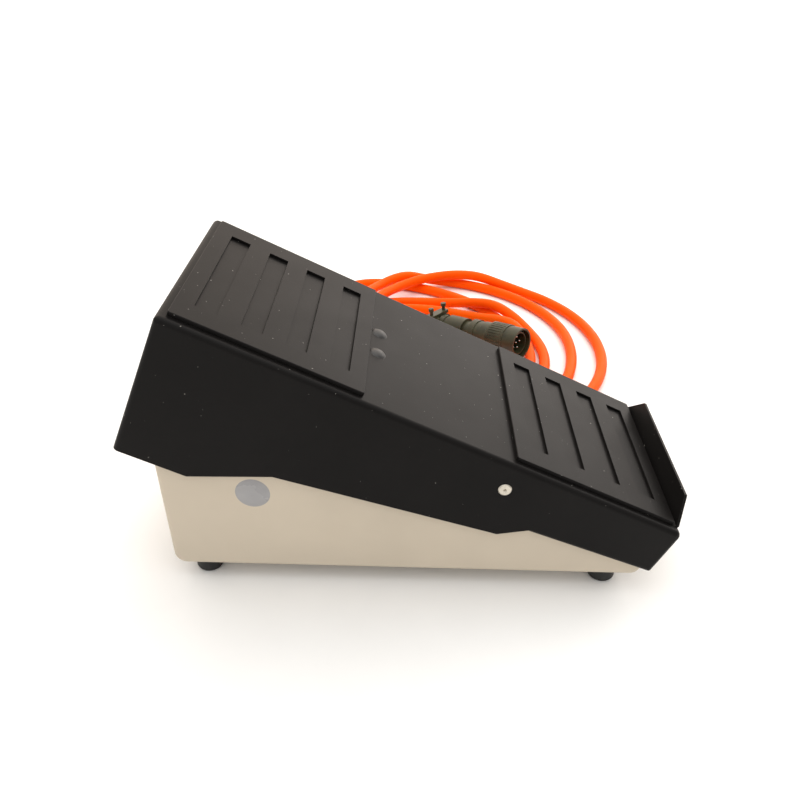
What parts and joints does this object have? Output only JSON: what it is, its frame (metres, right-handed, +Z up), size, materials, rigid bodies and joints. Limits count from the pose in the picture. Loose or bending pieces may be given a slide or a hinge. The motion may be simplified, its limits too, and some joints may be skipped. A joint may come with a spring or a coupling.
{
  "type": "foot control pedal",
  "caption": "Foot control pedal: sloping black steel treadle with slotted tread pads and a heel stop, hinged on a cream steel tray, with a coiled orange cable and round connector.",
  "frame": {"origin": "under the middle of the pedal, on the surface that its feet stand on", "axes": "+X from the toe end to the heel end, +Y to the side that the cable leaves from, +Z up"},
  "size_m": [0.3257, 0.4346, 0.1703],
  "materials": {
    "black_powder_coat": "satin",
    "cream_powder_coat": "satin",
    "tread_pad": "satin",
    "zinc_plate": "satin",
    "black_oxide": "satin",
    "nylon_white": "matte",
    "plug_nylon": "satin",
    "black_rubber": "matte",
    "spring_steel": "satin",
    "pot_case": "satin",
    "phenolic": "matte",
    "switch_case": "matte",
    "button_red": "gloss",
    "strip_nylon": "matte",
    "brass": "satin",
    "wire_jacket": "satin",
    "orange_jacket": "satin",
    "black_nylon": "matte",
    "olive_shell": "satin",
    "insert_rubber": "matte",
    "contact_silver": "polished",
    "white_paint": "satin"
  },
  "bodies": {
    "base": {"base_tray": "cream_powder_coat", "pivot_bushings": "nylon_white", "rubber_feet": "black_rubber", "foot_screws": "zinc_plate", "foot_nuts": "zinc_plate", "hole_plug": "plug_nylon", "down_stops": "black_rubber", "up_stops": "black_rubber", "lower_spring_seats": "zinc_plate", "near_return_spring": "spring_steel", "far_return_spring": "spring_steel", "pot_bracket": "zinc_plate", "pot_body": "pot_case", "pot_lugs": "phenolic", "pot_nut": "zinc_plate", "switch_bracket": "zinc_plate", "switch_body": "switch_case", "switch_screws": "zinc_plate", "switch_nuts": "zinc_plate", "bracket_screws": "zinc_plate", "bracket_nuts": "zinc_plate", "terminal_strip": "strip_nylon", "terminal_screws": "brass", "strip_screws": "zinc_plate", "strip_leads": "wire_jacket", "device_leads": "wire_jacket", "gland_body": "black_nylon", "gland_locknut": "black_nylon", "gland_nut": "black_nylon", "strain_relief": "black_rubber", "cable_inner_end": "orange_jacket", "cable_lead": "orange_jacket", "cable_coil": "orange_jacket", "cable_tail": "orange_jacket", "connector_shell": "olive_shell", "connector_key_dot": "white_paint", "connector_insert": "insert_rubber", "connector_pins": "contact_silver", "connector_backshell": "olive_shell", "clamp_root": "olive_shell", "clamp_saddles": "olive_shell", "clamp_screws": "olive_shell", "cable_grommet": "insert_rubber", "cable_tail_end": "orange_jacket"},
    "treadle_body": {"treadle": "black_powder_coat", "toe_pad": "tread_pad", "heel_pad": "tread_pad", "treadle_bolts": "black_oxide", "treadle_nuts": "zinc_plate", "sector_bracket": "zinc_plate", "sector_gear": "nylon_white", "sector_rivets": "zinc_plate", "upper_spring_seats": "black_powder_coat", "pivot_shaft": "zinc_plate", "retaining_clips": "spring_steel"},
    "pot_spindle": {"pot_shaft": "pot_case", "pinion": "brass"},
    "switch_button": {"switch_plunger": "button_red"},
    "coupling_ring": {"coupling_nut": "olive_shell"}
  },
  "joints": [
    {"name": "treadle_press", "type": "hinge", "parent": "base", "child": "treadle_body", "pos_m": [0.04936, 0, 0.0747], "axis": [0, -1, 0], "range_deg": [0, 20], "stiffness_Nm_per_rad": 1.6, "springref_deg": -42.97, "deforming": ["near_return_spring", "far_return_spring"]},
    {"name": "pot_turn", "type": "hinge", "parent": "base", "child": "pot_spindle", "pos_m": [-0.04791, 0, 0.0815], "axis": [0, -1, 0], "range_deg": [-270, 0]},
    {"name": "switch_travel", "type": "slide", "parent": "base", "child": "switch_button", "axis": [0.9976, 0, -0.0698], "range_m": [0, 0.0022]},
    {"name": "coupling_nut_turn", "type": "hinge", "parent": "base", "child": "coupling_ring", "pos_m": [0.09086, 0.189, 0.0248], "axis": [0.735, -0.6618, 0.1478], "continuous": true}
  ],
  "couplings": [
    {"joint": "pot_turn", "follows": "treadle_press", "ratio": -12},
    {"joint": "switch_travel", "follows": "treadle_press", "m_per_rad": 0.0057296}
  ]
}
